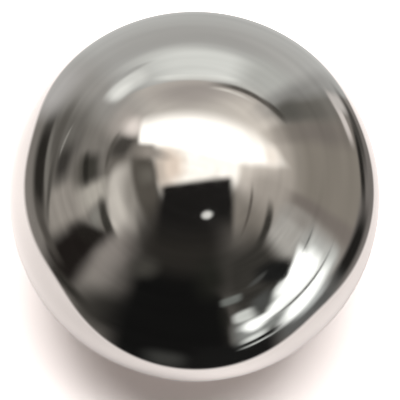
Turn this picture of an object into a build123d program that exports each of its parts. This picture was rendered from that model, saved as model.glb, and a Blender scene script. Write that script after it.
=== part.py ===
from build123d import *
import os

# Solid steel ball, ground and lapped to a mirror: one piece with no seam, flat or hole.
# The origin is the ball's centre and +Z is up.

# Driving dimensions, in millimetres
ball_diameter = 50.8  # the two inch stock size

# Derived size
ball_radius = ball_diameter / 2

# Ball, turned from a half disc about the upright axis through its centre
with BuildPart() as steel_ball:
    with BuildSketch(Plane.XZ):
        with BuildLine():
            lapped_edge = CenterArc(center=(0, 0), radius=ball_radius, start_angle=-90, arc_size=180)
            Line(lapped_edge @ 1, lapped_edge @ 0)
        make_face()
    revolve(axis=Axis.Z, revolution_arc=360)
steel_ball.part.label = "steel_ball"

os.makedirs("parts", exist_ok=True)
export_step(steel_ball.part, "parts/steel_ball.step")
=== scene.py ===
import math

import bpy
import numpy as np
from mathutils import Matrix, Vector


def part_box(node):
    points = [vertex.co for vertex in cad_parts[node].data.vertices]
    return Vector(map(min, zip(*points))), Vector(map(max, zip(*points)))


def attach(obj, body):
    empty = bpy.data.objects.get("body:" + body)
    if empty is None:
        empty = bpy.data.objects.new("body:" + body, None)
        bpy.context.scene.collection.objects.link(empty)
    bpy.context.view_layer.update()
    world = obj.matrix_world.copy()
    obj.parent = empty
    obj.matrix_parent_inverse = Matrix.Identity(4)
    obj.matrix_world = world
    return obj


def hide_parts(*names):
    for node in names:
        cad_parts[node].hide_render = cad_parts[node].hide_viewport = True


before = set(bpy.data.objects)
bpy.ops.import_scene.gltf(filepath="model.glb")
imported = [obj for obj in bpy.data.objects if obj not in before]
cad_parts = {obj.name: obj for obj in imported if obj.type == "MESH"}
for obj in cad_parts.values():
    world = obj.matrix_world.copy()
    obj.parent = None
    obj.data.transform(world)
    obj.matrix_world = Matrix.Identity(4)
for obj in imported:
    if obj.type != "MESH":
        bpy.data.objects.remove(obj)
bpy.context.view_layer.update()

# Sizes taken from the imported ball, in metres
ball_low, ball_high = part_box("steel_ball")
ball_radius = (ball_high[2] - ball_low[2]) / 2
floor_height = ball_low[2]

# Squares along each edge of the cube that the ball's skin is drawn from, and the digits to which its
# points are compared where they meet
ball_cells = 96
ball_digits = 7

# Camera: its angle above level, its distance and the nearest that it sees, in metres
camera_elevation = math.radians(72)
camera_distance = 8 * ball_radius
camera_near = 0.01

# The ball's outline in the 400 by 400 picture: centre and radius in pixels
picture_side = 400
outline_centre = (194.4, 196.7)
outline_radius = 185.1


def add_mesh(name, points, faces):
    """Puts whole arrays of points and faces into a new smooth object at the origin."""
    mesh = bpy.data.meshes.new(name)
    mesh.from_pydata(points.tolist(), [], faces.tolist())
    mesh.polygons.foreach_set("use_smooth", np.full(len(faces), True))
    mesh.update()
    made = bpy.data.objects.new(name, mesh)
    bpy.context.scene.collection.objects.link(made)
    return made


def ring_faces(rows, columns):
    """Quads between neighbouring points of a rows by columns grid, whose last column joins its first."""
    index = np.arange(rows * columns).reshape(rows, columns)
    index = np.concatenate([index, index[:, :1]], axis=1)
    corners = [index[:-1, :-1], index[:-1, 1:], index[1:, 1:], index[1:, :-1]]
    return np.stack(corners, axis=-1).reshape(-1, 4)


# Ball

def ball_surface(radius, cells):
    """Six square sheets of a cube whose points are (1, tan u, tan v), with u and v in even steps from -45
    to 45 degrees, each point drawn in to the radius. Even steps of angle keep the quads alike, and the
    sheets share their edge points, so the skin is closed and has no pole to pinch a reflection."""
    slope = np.tan(np.linspace(-math.pi / 4, math.pi / 4, cells + 1))
    u, v = np.meshgrid(slope, slope, indexing="ij")
    one = np.ones_like(u)
    sheets = [(one, u, v), (-one, -u, v), (-u, one, v), (u, -one, v), (-v, u, one), (v, u, -one)]
    points = np.stack([np.stack(sheet, axis=-1) for sheet in sheets]).reshape(-1, 3)
    points = points / np.linalg.norm(points, axis=1, keepdims=True)
    index = np.arange(len(points)).reshape(len(sheets), cells + 1, cells + 1)
    corners = [index[:, :-1, :-1], index[:, 1:, :-1], index[:, 1:, 1:], index[:, :-1, 1:]]
    quads = np.stack(corners, axis=-1).reshape(-1, 4)
    # Points that meet get the same key, and adding 0.0 turns minus zero into zero
    keys = np.round(points, ball_digits) + 0.0
    _, first, joined = np.unique(keys, axis=0, return_index=True, return_inverse=True)
    return points[first] * radius, joined.reshape(-1)[quads]


ball = add_mesh("polished_ball", *ball_surface(ball_radius, ball_cells))


# Mirror-lapped steel: its darkest and lightest colour, the scale and detail of the cloud between them and
# of the haze on the polish, the span of the haze, and the roughness that it is turned into
steel_dark = (0.605, 0.595, 0.58)
steel_light = (0.655, 0.645, 0.63)
cloud_scale = 70.0
cloud_detail = 3.0
haze_scale = 900.0
haze_detail = 4.0
haze_span = (0.3, 0.7)
polish_roughness = (0.03, 0.075)


def steel_material():
    """Bare metal whose colour drifts faintly with a coarse noise, and its roughness with a fine one."""
    material = bpy.data.materials.new("mirror_lapped_steel")
    material.use_nodes = True
    nodes = material.node_tree.nodes
    links = material.node_tree.links
    shader = nodes["Principled BSDF"]
    shader.inputs["Metallic"].default_value = 1.0

    place = nodes.new("ShaderNodeTexCoord")

    cloud = nodes.new("ShaderNodeTexNoise")
    cloud.inputs["Scale"].default_value = cloud_scale
    cloud.inputs["Detail"].default_value = cloud_detail
    links.new(place.outputs["Object"], cloud.inputs["Vector"])

    tint = nodes.new("ShaderNodeMix")
    tint.data_type = "RGBA"
    tint.inputs["A"].default_value = (*steel_dark, 1.0)
    tint.inputs["B"].default_value = (*steel_light, 1.0)
    links.new(cloud.outputs["Fac"], tint.inputs["Factor"])
    links.new(tint.outputs["Result"], shader.inputs["Base Color"])

    haze = nodes.new("ShaderNodeTexNoise")
    haze.inputs["Scale"].default_value = haze_scale
    haze.inputs["Detail"].default_value = haze_detail
    links.new(place.outputs["Object"], haze.inputs["Vector"])

    gloss = nodes.new("ShaderNodeMapRange")
    gloss.inputs["From Min"].default_value = haze_span[0]
    gloss.inputs["From Max"].default_value = haze_span[1]
    gloss.inputs["To Min"].default_value = polish_roughness[0]
    gloss.inputs["To Max"].default_value = polish_roughness[1]
    links.new(haze.outputs["Fac"], gloss.inputs["Value"])
    links.new(gloss.outputs["Result"], shader.inputs["Roughness"])
    return material


ball.data.materials.append(steel_material())
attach(ball, "root")
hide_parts("steel_ball")


# Floor: white paper that is flat for metres and then sweeps up. Radii of the rings of its flat part,
# radius of its sweep and height of its top, in metres, then the rows of its sweep and its columns
floor_rings = (0.0, 0.2, 0.6, 1.2, 2.4, 4.0)
floor_bend = 1.5
floor_top = 4.0
floor_bend_rows = 16
floor_columns = 96


def floor_surface(rings, bend, top, bend_rows, columns):
    """A profile turned about the upright axis: flat out to the last ring, a quarter circle, then a
    straight rise."""
    flat = rings[-1]
    angle = np.linspace(0, math.pi / 2, bend_rows + 1)[1:]
    radii = np.concatenate([rings, flat + bend * np.sin(angle), [flat + bend]])
    heights = np.concatenate([np.zeros(len(rings)), bend * (1 - np.cos(angle)), [top]])
    turn = np.arange(columns) / columns * 2 * math.pi
    x = radii[:, None] * np.cos(turn)
    y = radii[:, None] * np.sin(turn)
    z = np.broadcast_to(heights[:, None] + floor_height, x.shape)
    return np.stack([x, y, z], axis=-1).reshape(-1, 3), ring_faces(len(radii), columns)


# Warm white of the paper, its roughness and its faint shine, and the share of it that camera rays alone
# see once more, so that it shows plain white and keeps its shadow
paper_colour = (0.95, 0.878, 0.852)
paper_roughness = 0.9
paper_shine = 0.1
camera_gain = 0.85
# Painted light on the paper that mirror rays alone see, brighter towards the back and a little to the
# left:
# least and most, the way along which it grows, and where along that way it starts and ends
painted_mirror_light = (0.15, 0.40)
painted_mirror_light_way = (-0.35, 1.0, 0.0)
painted_mirror_light_span = (-0.2 * ball_radius, 1.3 * ball_radius)
# Round patches added to that painted light, one a painted pool of light and two of painted shade: place
# across and along and reach, in ball radii, and strength
painted_light_and_shade_rounds = [
    (0.28, -1.08, 0.75, 0.32),
    (-1.35, -1.30, 1.20, -0.15),
    (1.20, -0.20, 0.70, -0.15),
]


def paper_material():
    """Matt paper, with a second matt layer for camera rays alone and a faint painted glow of light and
    shade
    for mirror rays alone: a smooth step along the way, plus a smooth step down from the middle of each
    round patch."""
    material = bpy.data.materials.new("white_paper")
    material.use_nodes = True
    nodes = material.node_tree.nodes
    links = material.node_tree.links
    shader = nodes["Principled BSDF"]
    shader.inputs["Base Color"].default_value = (*paper_colour, 1.0)
    shader.inputs["Roughness"].default_value = paper_roughness
    shader.inputs["Specular IOR Level"].default_value = paper_shine
    shader.inputs["Emission Color"].default_value = (*paper_colour, 1.0)
    ray = nodes.new("ShaderNodeLightPath")

    place = nodes.new("ShaderNodeTexCoord")
    way = nodes.new("ShaderNodeVectorMath")
    way.operation = "DOT_PRODUCT"
    way.inputs[1].default_value = painted_mirror_light_way
    links.new(place.outputs["Object"], way.inputs[0])
    growth = nodes.new("ShaderNodeMapRange")
    growth.interpolation_type = "SMOOTHSTEP"
    growth.inputs["From Min"].default_value = painted_mirror_light_span[0]
    growth.inputs["From Max"].default_value = painted_mirror_light_span[1]
    growth.inputs["To Min"].default_value = painted_mirror_light[0]
    growth.inputs["To Max"].default_value = painted_mirror_light[1]
    links.new(way.outputs["Value"], growth.inputs["Value"])
    # Painted light on the paper for mirror rays: a smooth step along the way
    glow = growth.outputs["Result"]
    # Each round patch adds a painted pool of light or painted shade
    for across, along, reach, strength in painted_light_and_shade_rounds:
        away = nodes.new("ShaderNodeVectorMath")
        away.operation = "DISTANCE"
        away.inputs[1].default_value = (across * ball_radius, along * ball_radius, -ball_radius)
        links.new(place.outputs["Object"], away.inputs[0])
        fade = nodes.new("ShaderNodeMapRange")
        fade.interpolation_type = "SMOOTHSTEP"
        fade.inputs["From Min"].default_value = 0.0
        fade.inputs["From Max"].default_value = reach * ball_radius
        fade.inputs["To Min"].default_value = strength
        fade.inputs["To Max"].default_value = 0.0
        links.new(away.outputs["Value"], fade.inputs["Value"])
        added = nodes.new("ShaderNodeMath")
        added.operation = "ADD"
        links.new(glow, added.inputs[0])
        links.new(fade.outputs["Result"], added.inputs[1])
        glow = added.outputs["Value"]
    lift = nodes.new("ShaderNodeMath")
    lift.operation = "MULTIPLY"
    links.new(ray.outputs["Is Glossy Ray"], lift.inputs[0])
    links.new(glow, lift.inputs[1])
    links.new(lift.outputs["Value"], shader.inputs["Emission Strength"])

    second_layer = nodes.new("ShaderNodeBsdfDiffuse")
    second_layer.inputs["Color"].default_value = (*(camera_gain * part for part in paper_colour), 1.0)
    to_camera = nodes.new("ShaderNodeMixShader")
    links.new(ray.outputs["Is Camera Ray"], to_camera.inputs["Fac"])
    links.new(second_layer.outputs["BSDF"], to_camera.inputs[2])
    layers = nodes.new("ShaderNodeAddShader")
    links.new(shader.outputs["BSDF"], layers.inputs[0])
    links.new(to_camera.outputs["Shader"], layers.inputs[1])
    links.new(layers.outputs["Shader"], nodes["Material Output"].inputs["Surface"])
    material.cycles.emission_sampling = "NONE"
    return material


floor_points, floor_faces = floor_surface(
    floor_rings, floor_bend, floor_top, floor_bend_rows, floor_columns)
floor = add_mesh("paper_floor", floor_points, floor_faces)
floor.data.materials.append(paper_material())


# Cards round the ball, seen only in its polish

def rise(value, low, high):
    """A smooth step: 0 below low, 1 above high, and 3 t t - 2 t t t between them."""
    t = np.clip((value - low) / (high - low), 0, 1)
    return t * t * (3 - 2 * t)


# Where a card's bow stops growing, and where its distances stop growing, in half widths and half heights
bow_limit = 1.5
card_limit = 9


def lay_card(light, turn, height, card):
    """Lays one soft card over the light. With a and b the distances from its middle in half widths and
    half heights, its edge is where a and b, each to the power of its squareness, sum to 1. It leans with
    the turn and bows with the square of a."""
    middle, level, half_width, half_height, lean, bow, soft, power, colour = card
    off = (turn - middle + 180) % 360 - 180
    a = np.abs(off) / half_width
    b = np.abs(height - level - lean * off - bow * np.minimum(a, bow_limit) ** 2) / half_height
    a = np.minimum(a, card_limit)
    b = np.minimum(b, card_limit)
    edge = (a ** power + b ** power) ** (1 / power)
    cover = 1 - rise(edge, 1 - soft, 1 + soft)
    return light + (np.array(colour) - light) * cover[..., None]


# Each card: turn, height, half width, half height, lean, bow, softness, squareness and colour.
# Angles are in degrees; turn 0 faces the camera and 90 is on its right.
far_cards = [
    (177, -6, 46, 54, 0.0, 0, 0.025, 14, (0.60, 0.60, 0.58)),
    (174, 21.5, 29, 14, 0.0, -2, 0.55, 3, (1.02, 1.04, 1.00)),
    (147, 14, 11, 18, 0.0, 0, 0.70, 3, (0.66, 0.67, 0.64)),
    (178, -6, 40, 6, 0.0, 0, 0.80, 2, (0.545, 0.54, 0.52)),
    (176, 60, 64, 25, 0.0, -17, 0.025, 8, (0.75, 0.70, 0.64)),
    (179, 32.2, 19, 2.1, 0.0, -3.4, 0.30, 4, (1.12, 1.14, 1.09)),
    (180, 43, 26, 8, 0.0, -4, 0.80, 2, (0.53, 0.485, 0.45)),
]

right_cards = [
    (99, 18, 24, 36, 0.0, 0, 0.14, 6, (0.345, 0.311, 0.268)),
    (102, 62, 40, 26, 0.0, 0, 0.75, 4, (1.00, 0.92, 0.83)),
    (79, 6, 4, 36, 0.0, 0, 0.60, 4, (0.285, 0.25, 0.225)),
    (117, 6, 5, 24, 0.0, 0, 0.80, 4, (0.275, 0.245, 0.22)),
    (135, 7, 4.5, 24, 0.0, 0, 0.90, 4, (0.36, 0.355, 0.34)),
    (127.3, 8, 5.3, 20, 0.0, 0, 0.60, 4, (0.20, 0.19, 0.17)),
    (129, 19, 5, 9, 0.0, 0, 0.70, 3, (0.15, 0.145, 0.13)),
    (132, 27.8, 7, 1.7, 0.20, 0, 0.60, 3, (0.085, 0.08, 0.07)),
    (148, 31.9, 17.5, 1.7, 0.20, 0, 0.60, 3, (0.15, 0.137, 0.122)),
    (156, 37.4, 10, 0.9, 0.13, 0, 0.70, 3, (1.0, 0.95, 0.88)),
    (95, -23, 33, 7, 0.0, 0, 0.20, 6, (0.24, 0.22, 0.205)),
    (76, -19.8, 15, 3.3, -0.04, 0, 0.50, 3, (0.022, 0.021, 0.019)),
    (108, -17.0, 14, 1.6, 0.0, -1.5, 0.60, 3, (0.030, 0.028, 0.025)),
    (119, -19.6, 12, 1.4, 0.0, 0, 0.70, 3, (0.085, 0.08, 0.072)),
    (123, -12.9, 8.5, 1.5, 0.03, 0, 0.50, 3, (0.90, 0.83, 0.79)),
    (128.5, -14.8, 3.5, 3.0, 0.0, 0, 0.60, 3, (0.74, 0.70, 0.67)),
]

left_cards = [
    (-84.5, 12, 46, 52, 0.0, 0, 0.06, 8, (0.285, 0.265, 0.24)),
    (-130, 14, 8, 26, 0.0, 0, 0.80, 4, (0.40, 0.38, 0.35)),
    (-136, 8, 9, 30, 0.0, 0, 0.90, 4, (0.46, 0.445, 0.42)),
    (-146.5, 20.8, 10.5, 6.0, 0.0, 0, 0.35, 3.5, (1.02, 1.03, 0.99)),
    (-143, 22, 5, 3, 0.0, 0, 0.80, 2, (1.22, 1.23, 1.18)),
    (-152, 12.8, 8, 1.6, 0.0, 0, 0.70, 2, (0.56, 0.56, 0.54)),
    (-128, 42, 10, 10, 0.0, 0, 0.80, 3, (0.60, 0.55, 0.505)),
    (-118, 3, 11, 13, 0.0, 0, 0.90, 3, (0.19, 0.18, 0.163)),
    (-98, 45, 9, 8, -0.1, 0, 0.80, 3, (0.21, 0.19, 0.167)),
    (-111.5, 45.8, 9, 6.6, -0.30, 0, 0.60, 3, (0.085, 0.078, 0.069)),
    (-106, 38.4, 11, 1.1, -0.12, 0, 0.70, 3, (0.13, 0.12, 0.105)),
    (-66.5, 41, 29, 9, -0.34, -2.5, 0.26, 3, (0.84, 0.79, 0.72)),
    (-74, 50.5, 25, 5, -0.22, -2, 0.90, 2.5, (0.42, 0.39, 0.35)),
    (-84, 8, 10, 19, 0.0, 0, 0.35, 4, (0.43, 0.395, 0.355)),
    (-83, 27, 6.5, 10, 0.0, 0, 0.55, 4, (0.62, 0.585, 0.52)),
    (-64, 27.6, 13, 2.8, -0.22, 0, 0.45, 3, (0.06, 0.056, 0.048)),
    (-96, 19, 7, 6, 0.0, 0, 0.80, 3, (0.20, 0.185, 0.163)),
    (-97, 25.8, 8, 6.3, 0.0, 0, 0.55, 4, (0.066, 0.062, 0.053)),
    (-97.5, 23.3, 7.5, 1.7, 0.0, 0, 0.60, 3, (0.035, 0.033, 0.028)),
    (-103.5, 5.5, 7.5, 6.2, -0.30, 0, 0.75, 2.5, (0.062, 0.057, 0.051)),
    (-115, -2, 12, 2.2, 0.0, 0, 0.80, 2.5, (0.15, 0.14, 0.125)),
    (-113.5, 3.8, 5.5, 0.8, -0.28, 0, 0.60, 2, (0.40, 0.385, 0.355)),
    (-69, 22, 6, 3.5, -0.50, 0, 0.80, 2, (0.33, 0.32, 0.29)),
    (-65.5, 1.5, 10, 16.5, 0.75, 0, 0.52, 4, (0.020, 0.0165, 0.0145)),
    (-62, -9, 6.5, 9.5, 0.50, 0, 0.60, 3.5, (0.021, 0.0175, 0.0155)),
    (-64, 14, 9, 6, 0.75, 0, 0.55, 3, (0.024, 0.021, 0.018)),
    (-48, 13, 8.5, 17, 0.50, 0, 0.65, 3, (0.37, 0.337, 0.31)),
    (-44, 26, 9, 9, -0.3, 0, 0.80, 3, (0.42, 0.38, 0.35)),
    (-104, -9.0, 20, 3.3, -0.03, -0.7, 0.55, 3, (0.033, 0.030, 0.026)),
    (-80, -10.8, 11, 1.8, 0.02, 0, 0.70, 2.5, (0.115, 0.104, 0.092)),
    (-105, -5.1, 16, 1.0, 0.0, -1.2, 0.70, 2, (0.28, 0.265, 0.24)),
    (-97, -3.4, 13, 1.0, -0.22, -1, 0.70, 2.5, (0.12, 0.112, 0.10)),
    (-98, -16.0, 27, 2.4, 0.0, 0, 0.40, 5, (0.272, 0.250, 0.229)),
    (-50, -15.5, 17, 2.2, -0.05, 0, 0.70, 3, (0.055, 0.05, 0.043)),
    (-46, -15.3, 17, 0.7, 0.0, 0, 0.60, 3, (0.028, 0.027, 0.023)),
    (-133.5, -16, 8.5, 8.5, 0.0, 0, 0.70, 3, (0.60, 0.585, 0.57)),
]

overhead_cards = [
    (0, 85, 400, 21, 0.0, 0, 0.14, 8, (1.75, 1.68, 1.56)),
    (-92, 76, 42, 8, 0.0, 0, 0.60, 4, (1.20, 1.02, 0.87)),
    (-84, 69.5, 28, 3.6, 0.0, 0, 0.80, 4, (0.86, 0.75, 0.65)),
    (-75, 60.2, 40, 7.4, -0.06, -5, 0.35, 4, (0.130, 0.117, 0.100)),
    (-82, 62, 9, 4, 0.0, 0, 0.90, 2.5, (0.20, 0.185, 0.16)),
    (-111, 63.5, 7.5, 8.5, 0.0, 0, 0.90, 3, (0.46, 0.415, 0.37)),
    (-128, 46.5, 6.5, 5.5, 0.0, 0, 0.90, 2, (1.15, 1.05, 0.98)),
]

front_cards = [
    (73, 43, 18, 13, 0.0, 0, 0.55, 4, (0.56, 0.51, 0.455)),
    (48, 45, 14, 22, 0.0, 0, 0.85, 4, (0.31, 0.28, 0.245)),
    (56, 49.4, 15, 0.9, 0.35, -1, 0.70, 3, (0.15, 0.132, 0.115)),
    (60.5, 20, 12.5, 13, 0.0, 0, 0.40, 4, (0.60, 0.58, 0.54)),
    (54, 34.0, 13.5, 2.6, 0.40, 0, 0.55, 2.6, (0.060, 0.056, 0.048)),
    (72, 12, 4, 16, 0.0, 0, 0.80, 4, (0.45, 0.42, 0.385)),
    (33, 6, 17, 33, 0.0, 0, 0.40, 4, (0.052, 0.049, 0.043)),
    (44, 8.5, 10, 7.5, -0.45, 0, 0.50, 2.2, (0.017, 0.0175, 0.017)),
    (34, 11, 5, 1.5, 0.25, 0, 0.70, 2, (0.09, 0.092, 0.088)),
    (18.2, 4.3, 5.0, 2.6, 0.10, 0, 0.45, 4, (0.24, 0.255, 0.24)),
    (49, -21.5, 15, 4, 0.03, 0, 0.50, 4, (0.150, 0.153, 0.150)),
    (16, -25, 17, 7, 0.0, 0, 0.30, 6, (0.014, 0.014, 0.0135)),
    (64, -1.5, 7, 9.5, 0.0, 0, 0.90, 2.5, (0.80, 0.82, 0.79)),
    (37.5, -5.8, 5.5, 3.0, 0.70, 0, 0.60, 3, (0.80, 0.83, 0.79)),
    (52, -4.6, 12.0, 5.0, 0.13, 0, 0.40, 3.5, (2.1, 2.15, 2.1)),
    (54.5, 0.6, 6.6, 5.0, 0.72, 0, 0.45, 3, (2.1, 2.15, 2.1)),
    (67, 5.8, 5, 0.8, 0.20, 0, 0.70, 2, (0.28, 0.285, 0.27)),
    (52, -17.0, 9, 2.0, 0.12, 0, 0.70, 3, (0.64, 0.67, 0.66)),
    (66.5, -11.0, 5, 3.0, 0.15, 0, 0.80, 2.5, (0.75, 0.77, 0.74)),
    (50, -13.5, 13.5, 3.1, 0.19, 0, 0.45, 4, (1.75, 1.8, 1.76)),
    (22.5, -13.5, 5.2, 5.0, 0.10, 0, 0.80, 3, (0.36, 0.375, 0.36)),
    (23.0, -6.2, 5.5, 2.4, 0.05, 0, 0.40, 3, (0.93, 0.96, 0.92)),
    (32.3, -10.6, 11, 1.9, 0.06, 0, 0.50, 3, (1.7, 1.75, 1.7)),
    (40, -7.6, 6, 1.9, 0.12, 0, 0.50, 3, (1.8, 1.85, 1.8)),
    (27.2, -12.0, 5.4, 2.5, 0.0, 0, 0.55, 2.5, (1.9, 1.95, 1.9)),
    (32, -3.5, 5.0, 3.8, 0.25, 0, 0.70, 3, (0.10, 0.104, 0.10)),
    (32.3, -14.2, 6.2, 1.8, 0.2, 0, 0.70, 2, (0.33, 0.345, 0.33)),
    (50, -10.4, 17, 0.5, 0.10, 0, 0.70, 3, (0.12, 0.12, 0.115)),
    (24.8, -17.5, 4.8, 1.3, 0.14, 0, 0.75, 2.5, (1.10, 1.14, 1.10)),
    (26, -18.9, 8.5, 0.60, 0.15, 0, 0.50, 3, (0.016, 0.016, 0.015)),
    (26.5, -20.4, 7.0, 0.42, 0.14, 0, 0.60, 3, (0.80, 0.83, 0.80)),
]

flag_cards = [
    (-38, -11.5, 16, 8.5, 0.40, 0, 0.70, 3, (0.072, 0.067, 0.059)),
    (-11, -5, 29, 55, 0.0, 0, 0.42, 4, (0.0095, 0.0095, 0.0092)),
    (-9, 46, 37, 20, 0.0, -4, 0.50, 3, (0.034, 0.031, 0.027)),
    (-3, -14, 17.5, 26, 0.0, 0, 0.10, 8, (0.0095, 0.0095, 0.0092)),
    (-11, -25, 7, 4, 0.0, 0, 0.80, 2.5, (0.060, 0.061, 0.057)),
    (-30, 22, 7, 6, 0.30, 0, 0.90, 2, (0.078, 0.074, 0.065)),
    (12, 22, 9, 12, 0.0, 0, 0.90, 2.5, (0.024, 0.0245, 0.020)),
    (13.3, -4, 2.6, 4.5, 0.0, 0, 0.60, 3, (0.011, 0.0115, 0.010)),
]

# The soft box's faint right end, and the small round lamp in the dark flag overhead
softbox_tip = (102.5, 43.5, 7, 4.5, 0.0, 0, 0.90, 2, (1.45, 1.33, 1.20))
pilot_lamp = (15, 60.5, 6, 2.2, 0.0, 0, 0.6, 2, (1.0, 1.0, 0.96))

# Edges of the soft box and of the dark flag overhead: a point (across, back) on each, the way out over it
# and its softness, in heights of their plane, and the height in degrees under which they aren't seen
overhead_low = 5
softbox_edges = [
    (0.0, 0.60, 0.0, 1.0, 0.17),
    (0.763, 0.375, 0.420, 0.907, 0.25),
    (0.80, 0.098, 0.121, -0.993, 0.09),
    (-0.35, 0.248, -0.246, -0.969, 0.05),
    (-0.635, 0.40, -1.0, 0.0, 0.05),
]
flag_edges = [
    (0.0, -0.155, -0.13, 0.99, 0.05),
    (0.44, -0.33, 0.985, 0.17, 0.06),
    (-0.38, -0.25, -0.98, 0.20, 0.08),
    (0.0, -0.90, 0.0, -1.0, 0.40),
]
softbox_colour = (2.3, 2.22, 2.1)
flag_colour = (0.018, 0.017, 0.016)

# Light between the cards
open_colour = (0.36, 0.33, 0.30)


def lay_overhead(light, turn, height, edges, colour):
    """Lays a straight-edged card on a level plane overhead, where a point lies at the cotangent of its
    height from the point straight above the ball. Its cover is the product of a smooth step over each of
    its edges."""
    reach = 1 / np.tan(np.radians(np.clip(height, overhead_low, 90)))
    across = reach * np.sin(np.radians(turn))
    back = -reach * np.cos(np.radians(turn))
    cover = (height > overhead_low) * 1.0
    for edge_x, edge_y, out_x, out_y, soft in edges:
        past = (across - edge_x) * out_x + (back - edge_y) * out_y
        cover = cover * (1 - rise(past, -soft, soft))
    return light + (np.array(colour) - light) * cover[..., None]


# Cells to a degree and along each side of the grid that streaks are drawn on
streak_density = 2
streak_cells = 360 * streak_density

# Streaks over all the cards and finer ones over two patches: seed, and length and width in degrees
broad_streaks = (4, 12, 1.3)
fine_streaks = (9, 6, 0.8)
broad_strength = 0.03
# Patches of the finer streaks: turn and its reach, height and its reach, in degrees, and strength
fine_patches = [
    (-92, 34, 10, 30, 0.04),
    (46, 26, 2, 30, 0.09),
]
patch_power = 4


def streaks(turn, height, seed, length, width):
    """Random numbers on a square grid, smoothed by a bell curve in frequency to a length along the turn
    and a width along the height, in degrees, and read off between the grid's points: spread 1."""
    noise = np.random.default_rng(seed).normal(size=(streak_cells, streak_cells))
    along = np.fft.fftfreq(streak_cells)[None, :] * streak_density * length
    across = np.fft.fftfreq(streak_cells)[:, None] * streak_density * width
    bell = np.exp(-2 * math.pi ** 2 * (along ** 2 + across ** 2))
    field = np.real(np.fft.ifft2(np.fft.fft2(noise) * bell))
    field = field / field.std()
    column = (turn + 180) * streak_density
    row = (height + 90) * streak_density
    left = np.floor(column).astype(int)
    low = np.floor(row).astype(int)
    c = column - left
    r = row - low
    left = left % streak_cells
    right = (left + 1) % streak_cells
    low = low % streak_cells
    high = (low + 1) % streak_cells
    lower = field[low, left] * (1 - c) + field[low, right] * c
    upper = field[high, left] * (1 - c) + field[high, right] * c
    return lower * (1 - r) + upper * r


def studio_light(turn, height):
    """The light at every turn and height: each card laid over the ones before it, then faint level
    streaks as a power of e."""
    light = np.broadcast_to(np.array(open_colour), height.shape + (3,))
    for card in far_cards + right_cards + left_cards + overhead_cards:
        light = lay_card(light, turn, height, card)
    light = lay_overhead(light, turn, height, softbox_edges, softbox_colour)
    for card in [softbox_tip] + flag_cards + front_cards:
        light = lay_card(light, turn, height, card)
    light = lay_overhead(light, turn, height, flag_edges, flag_colour)
    light = lay_card(light, turn, height, pilot_lamp)
    fine_strength = 0.0
    for patch_turn, turn_reach, patch_height, height_reach, strength in fine_patches:
        a = ((turn - patch_turn) / turn_reach) ** patch_power
        b = ((height - patch_height) / height_reach) ** patch_power
        fine_strength = fine_strength + strength * np.exp(-a - b)
    grain = broad_strength * streaks(turn, height, *broad_streaks)
    grain = grain + fine_strength * streaks(turn, height, *fine_streaks)
    return light * np.exp(grain)[..., None]


# Light of the white paper near the ball, to which the cards fade at their foot
paper_light = np.array((1.14, 1.055, 1.022))

# Sides of the sheet of paper under the ball, from the ball's middle in ball radii, the skew and the left
# bow of its front, the skew of its back, and the power that rounds its corners
sheet_left = 2.95
sheet_right = 1.92
sheet_front = 1.66
sheet_back = 1.58
sheet_front_skew = 0.08
sheet_front_bow = 0.12
sheet_back_skew = 0.14
sheet_corner = 6

# Least slope at which a line of sight is taken to come down
least_slope = 1e-6


def card_tent(columns, rows, reach, lift, fade):
    """Points at every turn and height round the ball: at the reach above its middle, and below it where
    the line of sight comes down to just over the floor. The cards start at the edge of a sheet of paper
    under the ball, where across and along, in its half sides and to the power of its corner, sum to 1,
    and fade to the paper's light on either side of it. Returns points, quads and each point's light."""
    turn = np.arange(columns) / columns * 360 - 180
    across = np.sin(np.radians(turn))
    along = np.cos(np.radians(turn))
    side_x = np.where(across > 0, sheet_right, sheet_left) * ball_radius
    left = np.minimum(across, 0)
    front = sheet_front - sheet_front_skew * across - sheet_front_bow * left ** 2
    back = sheet_back - sheet_back_skew * across
    side_y = np.where(along > 0, front, back) * ball_radius
    ratio_x = np.abs(across / side_x) ** sheet_corner
    ratio_y = np.abs(along / side_y) ** sheet_corner
    paper_edge = (ratio_x + ratio_y) ** (-1 / sheet_corner)
    edge_height = -np.degrees(np.arctan2(ball_radius - lift, paper_edge))
    lowest = edge_height - fade
    share = np.linspace(0, 1, rows)[:, None]
    height = lowest + (90 - lowest) * share
    turn = np.broadcast_to(turn, height.shape)
    level = np.cos(np.radians(height))
    up = np.sin(np.radians(height))
    far = np.minimum(reach, (ball_radius - lift) / np.maximum(-up, least_slope))
    x = far * level * np.sin(np.radians(turn))
    y = -far * level * np.cos(np.radians(turn))
    points = np.stack([x, y, far * up], axis=-1).reshape(-1, 3)
    light = studio_light(turn, height)
    card_share = rise(height - edge_height, -fade, fade)
    light = paper_light + (light - paper_light) * card_share[..., None]
    return points, ring_faces(rows, columns), light.reshape(-1, 3)


def card_material():
    """Plain glow in the colour of each point's own light."""
    material = bpy.data.materials.new("card_glow")
    material.use_nodes = True
    nodes = material.node_tree.nodes
    links = material.node_tree.links
    nodes.clear()
    output = nodes.new("ShaderNodeOutputMaterial")
    glow = nodes.new("ShaderNodeEmission")
    colour = nodes.new("ShaderNodeAttribute")
    colour.attribute_name = "card_light"
    links.new(colour.outputs["Color"], glow.inputs["Color"])
    links.new(glow.outputs["Emission"], output.inputs["Surface"])
    material.cycles.emission_sampling = "NONE"
    return material


# Tent: columns and rows, reach and its foot's height over the floor in metres, and fade in degrees
tent_columns = 720
tent_rows = 240
tent_reach = 1.5
tent_lift = 0.0004
tent_fade = 1.1

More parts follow.
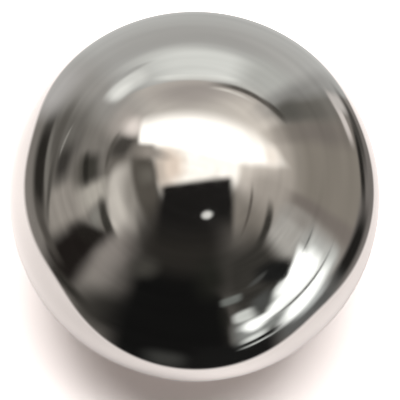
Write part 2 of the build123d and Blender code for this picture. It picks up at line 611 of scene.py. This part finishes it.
tent_points, tent_faces, tent_light = card_tent(
    tent_columns, tent_rows, tent_reach, tent_lift, tent_fade)
tent = add_mesh("reflection_cards", tent_points, tent_faces)
shade = tent.data.color_attributes.new("card_light", "FLOAT_COLOR", "POINT")
shade.data.foreach_set("color", np.column_stack([tent_light, np.ones(len(tent_light))]).ravel())
tent.data.materials.append(card_material())
tent.visible_camera = False
tent.visible_diffuse = False
tent.visible_shadow = False
tent.visible_transmission = False


# Lamp and world

def aim(thing, place, target):
    """Puts a lamp or camera at a place, looking at a target."""
    thing.location = place
    thing.rotation_euler = (Vector(target) - Vector(place)).to_track_quat("-Z", "Y").to_euler()


# The lamp's width, depth and place in metres, its power in watts, and the colour of the fill
lamp_width = 2.2
lamp_depth = 1.4
lamp_place = (0.12, 0.63, 3.0)
lamp_power = 99.0
fill_colour = (0.054, 0.059, 0.060)

lamp_data = bpy.data.lights.new("overhead_lamp", "AREA")
lamp_data.shape = "RECTANGLE"
lamp_data.size = lamp_width
lamp_data.size_y = lamp_depth
lamp_data.energy = lamp_power
lamp = bpy.data.objects.new("overhead_lamp", lamp_data)
bpy.context.scene.collection.objects.link(lamp)
aim(lamp, lamp_place, (0.0, 0.0, 0.0))
lamp.visible_glossy = False

world = bpy.data.worlds.new("soft_fill")
world.use_nodes = True
world.node_tree.nodes["Background"].inputs["Color"].default_value = (*fill_colour, 1.0)
bpy.context.scene.world = world
bpy.context.scene.view_settings.view_transform = "Standard"


# Camera: the lens makes the outline as large as it is in the picture, and the shift puts it in its place

camera_data = bpy.data.cameras.new("camera")
outline_slope = math.tan(math.asin(ball_radius / camera_distance))
half_frame_slope = outline_slope * (picture_side / 2) / outline_radius
camera_data.lens = camera_data.sensor_width / 2 / half_frame_slope
camera_data.shift_x = (picture_side / 2 - outline_centre[0]) / picture_side
camera_data.shift_y = (outline_centre[1] - picture_side / 2) / picture_side
camera_data.clip_start = camera_near
camera = bpy.data.objects.new("camera", camera_data)
bpy.context.scene.collection.objects.link(camera)
camera_ahead = camera_distance * math.cos(camera_elevation)
camera_height = camera_distance * math.sin(camera_elevation)
aim(camera, (0.0, -camera_ahead, camera_height), (0.0, 0.0, 0.0))
bpy.context.scene.camera = camera
